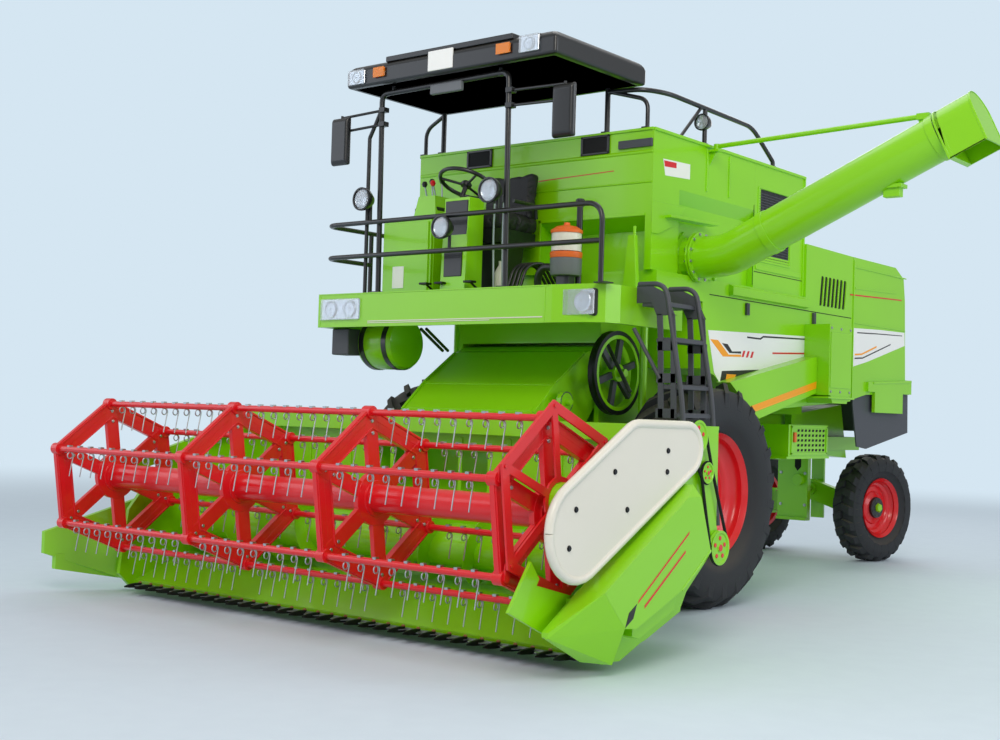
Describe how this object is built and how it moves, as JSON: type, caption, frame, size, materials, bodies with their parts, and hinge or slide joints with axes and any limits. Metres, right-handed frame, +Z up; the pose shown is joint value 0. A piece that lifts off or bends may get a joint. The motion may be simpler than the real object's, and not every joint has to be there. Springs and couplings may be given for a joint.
{
  "type": "combine harvester",
  "caption": "Self-propelled combine harvester with a grain table and tine reel in front, open driver's platform, grain tank, side discharge auger and rear hood.",
  "frame": {"origin": "on the ground under the middle of the bounding box", "axes": "+Z up, the machine drives towards -Y, its left side is +X"},
  "size_m": [5.2754, 7.927, 3.731],
  "materials": {
    "green": "gloss paint, lime green",
    "red": "gloss paint, red",
    "black": "satin paint, black",
    "charcoal": "satin paint, charcoal",
    "tyre": "dark grey rubber",
    "white": "gloss paint, off-white",
    "orange": "moulded plastic, orange",
    "vinyl": "black vinyl over foam",
    "steel": "bare steel",
    "castiron": "cast iron"
  },
  "bodies": {
    "machine": {"chassis_frame": "green", "front_axle": "green", "rear_axle": "green", "thresher_body": "green", "rear_hood": "green", "straw_deflector": "charcoal", "cleaning_shoe": "green", "grain_tank": "green", "engine_cover": "green", "engine_block": "castiron", "returns_elevator": "green", "grain_elevator": "green", "battery_box": "green", "feeder_drive_pulley": "green", "operator_platform": "green", "canopy_frame": "black", "canopy_roof": "black", "tank_rails": "black", "seat_base": "black", "seat_pads": "vinyl", "steering_column": "green", "steering_wheel": "black", "control_console": "green", "air_precleaner": "orange", "fuel_drum": "green", "boarding_ladder": "charcoal"},
    "front_wheel_left": {"front_tyre_left": "tyre", "front_rim_left": "red"},
    "front_wheel_right": {"front_tyre_right": "tyre", "front_rim_right": "red"},
    "knuckle_left": {"steering_knuckle_left": "green"},
    "knuckle_right": {"steering_knuckle_right": "green"},
    "rear_wheel_left": {"rear_tyre_left": "tyre", "rear_rim_left": "red"},
    "rear_wheel_right": {"rear_tyre_right": "tyre", "rear_rim_right": "red"},
    "track_rod": {"tie_rod": "black"},
    "header": {"feeder_house": "green", "header_table": "green", "cutter_bar": "steel", "divider_left": "green", "divider_right": "green", "belt_guard": "white", "side_cover": "green", "header_drive": "green"},
    "auger": {"header_auger": "green"},
    "ram_barrels": {"lift_barrels": "green"},
    "ram_rods": {"lift_rods": "steel"},
    "reel_frame": {"reel_arm_left": "green", "reel_arm_right": "green"},
    "reel": {"reel_rotor": "red"},
    "feathering": {"feathering_frame": "red"},
    "discharge": {"discharge_tube": "green", "stay_rod": "green"},
    "tine_1": {"tine_bar_1": "red"},
    "tine_2": {"tine_bar_2": "red"},
    "tine_3": {"tine_bar_3": "red"},
    "tine_4": {"tine_bar_4": "red"},
    "tine_5": {"tine_bar_5": "red"},
    "tine_6": {"tine_bar_6": "red"}
  },
  "joints": [
    {"name": "front_wheel_left_spin", "type": "hinge", "parent": "machine", "child": "front_wheel_left", "pos_m": [0.65728, -0.73514, 0.77], "axis": [1, 0, 0], "continuous": true},
    {"name": "front_wheel_right_spin", "type": "hinge", "parent": "machine", "child": "front_wheel_right", "pos_m": [-1.69272, -0.73514, 0.77], "axis": [1, 0, 0], "continuous": true},
    {"name": "steer_left", "type": "hinge", "parent": "machine", "child": "knuckle_left", "pos_m": [-0.07272, 3.41486, 0.5], "axis": [0, 0, 1], "range_deg": [-24, 46]},
    {"name": "steer_right", "type": "hinge", "parent": "machine", "child": "knuckle_right", "pos_m": [-0.96272, 3.41486, 0.5], "axis": [0, 0, 1], "range_deg": [-24, 46]},
    {"name": "rear_wheel_left_spin", "type": "hinge", "parent": "knuckle_left", "child": "rear_wheel_left", "pos_m": [0.1187, 3.37765, 0.5], "axis": [0.9816, -0.1908, 0], "continuous": true},
    {"name": "rear_wheel_right_spin", "type": "hinge", "parent": "knuckle_right", "child": "rear_wheel_right", "pos_m": [-1.15413, 3.45206, 0.5], "axis": [0.9816, -0.1908, 0], "continuous": true},
    {"name": "track_rod_end", "type": "hinge", "parent": "knuckle_left", "child": "track_rod", "pos_m": [-0.03455, 3.61118, 0.64], "axis": [0, 0, 1], "range_deg": [-46, 24]},
    {"name": "header_lift", "type": "hinge", "parent": "machine", "child": "header", "pos_m": [-0.51772, -1.12714, 1.583], "axis": [-1, 0, 0], "range_deg": [0, 22]},
    {"name": "ram_swing", "type": "hinge", "parent": "machine", "child": "ram_barrels", "pos_m": [-0.51772, -0.95014, 0.62], "axis": [-1, 0, 0], "range_deg": [0, 16]},
    {"name": "ram_extend", "type": "slide", "parent": "ram_barrels", "child": "ram_rods", "axis": [0, -0.9972, 0.0747], "range_m": [0, 0.37]},
    {"name": "auger_spin", "type": "hinge", "parent": "header", "child": "auger", "pos_m": [-0.51772, -2.71014, 0.49], "axis": [1, 0, 0], "continuous": true},
    {"name": "reel_lift", "type": "hinge", "parent": "header", "child": "reel_frame", "pos_m": [-0.51772, -2.41514, 1.135], "axis": [-1, 0, 0], "range_deg": [0, 15]},
    {"name": "reel_spin", "type": "hinge", "parent": "reel_frame", "child": "reel", "pos_m": [-0.51772, -3.48814, 0.795], "axis": [1, 0, 0], "continuous": true},
    {"name": "feathering_spin", "type": "hinge", "parent": "reel_frame", "child": "feathering", "pos_m": [-0.51772, -3.48814, 0.857], "axis": [1, 0, 0], "continuous": true},
    {"name": "discharge_swing", "type": "hinge", "parent": "machine", "child": "discharge", "pos_m": [0.59228, -0.48514, 2.41], "axis": [0, 0, 1], "range_deg": [0, 85]},
    {"name": "tine_1_turn", "type": "hinge", "parent": "reel", "child": "tine_1", "pos_m": [-0.51772, -3.55439, 1.26637], "axis": [1, 0, 0], "continuous": true},
    {"name": "tine_2_turn", "type": "hinge", "parent": "reel", "child": "tine_2", "pos_m": [-0.51772, -3.11305, 1.08805], "axis": [1, 0, 0], "continuous": true},
    {"name": "tine_3_turn", "type": "hinge", "parent": "reel", "child": "tine_3", "pos_m": [-0.51772, -3.04681, 0.61669], "axis": [1, 0, 0], "continuous": true},
    {"name": "tine_4_turn", "type": "hinge", "parent": "reel", "child": "tine_4", "pos_m": [-0.51772, -3.4219, 0.32363], "axis": [1, 0, 0], "continuous": true},
    {"name": "tine_5_turn", "type": "hinge", "parent": "reel", "child": "tine_5", "pos_m": [-0.51772, -3.86324, 0.50195], "axis": [1, 0, 0], "continuous": true},
    {"name": "tine_6_turn", "type": "hinge", "parent": "reel", "child": "tine_6", "pos_m": [-0.51772, -3.92948, 0.97331], "axis": [1, 0, 0], "continuous": true}
  ],
  "couplings": [
    {"joint": "steer_right", "follows": "steer_left", "ratio": 1},
    {"joint": "track_rod_end", "follows": "steer_left", "ratio": -1},
    {"joint": "ram_swing", "follows": "header_lift", "ratio": 0.68},
    {"joint": "ram_extend", "follows": "header_lift", "m_per_rad": 0.91},
    {"joint": "feathering_spin", "follows": "reel_spin", "ratio": 1},
    {"joint": "tine_1_turn", "follows": "reel_spin", "ratio": -1},
    {"joint": "tine_2_turn", "follows": "reel_spin", "ratio": -1},
    {"joint": "tine_3_turn", "follows": "reel_spin", "ratio": -1},
    {"joint": "tine_4_turn", "follows": "reel_spin", "ratio": -1},
    {"joint": "tine_5_turn", "follows": "reel_spin", "ratio": -1},
    {"joint": "tine_6_turn", "follows": "reel_spin", "ratio": -1}
  ]
}
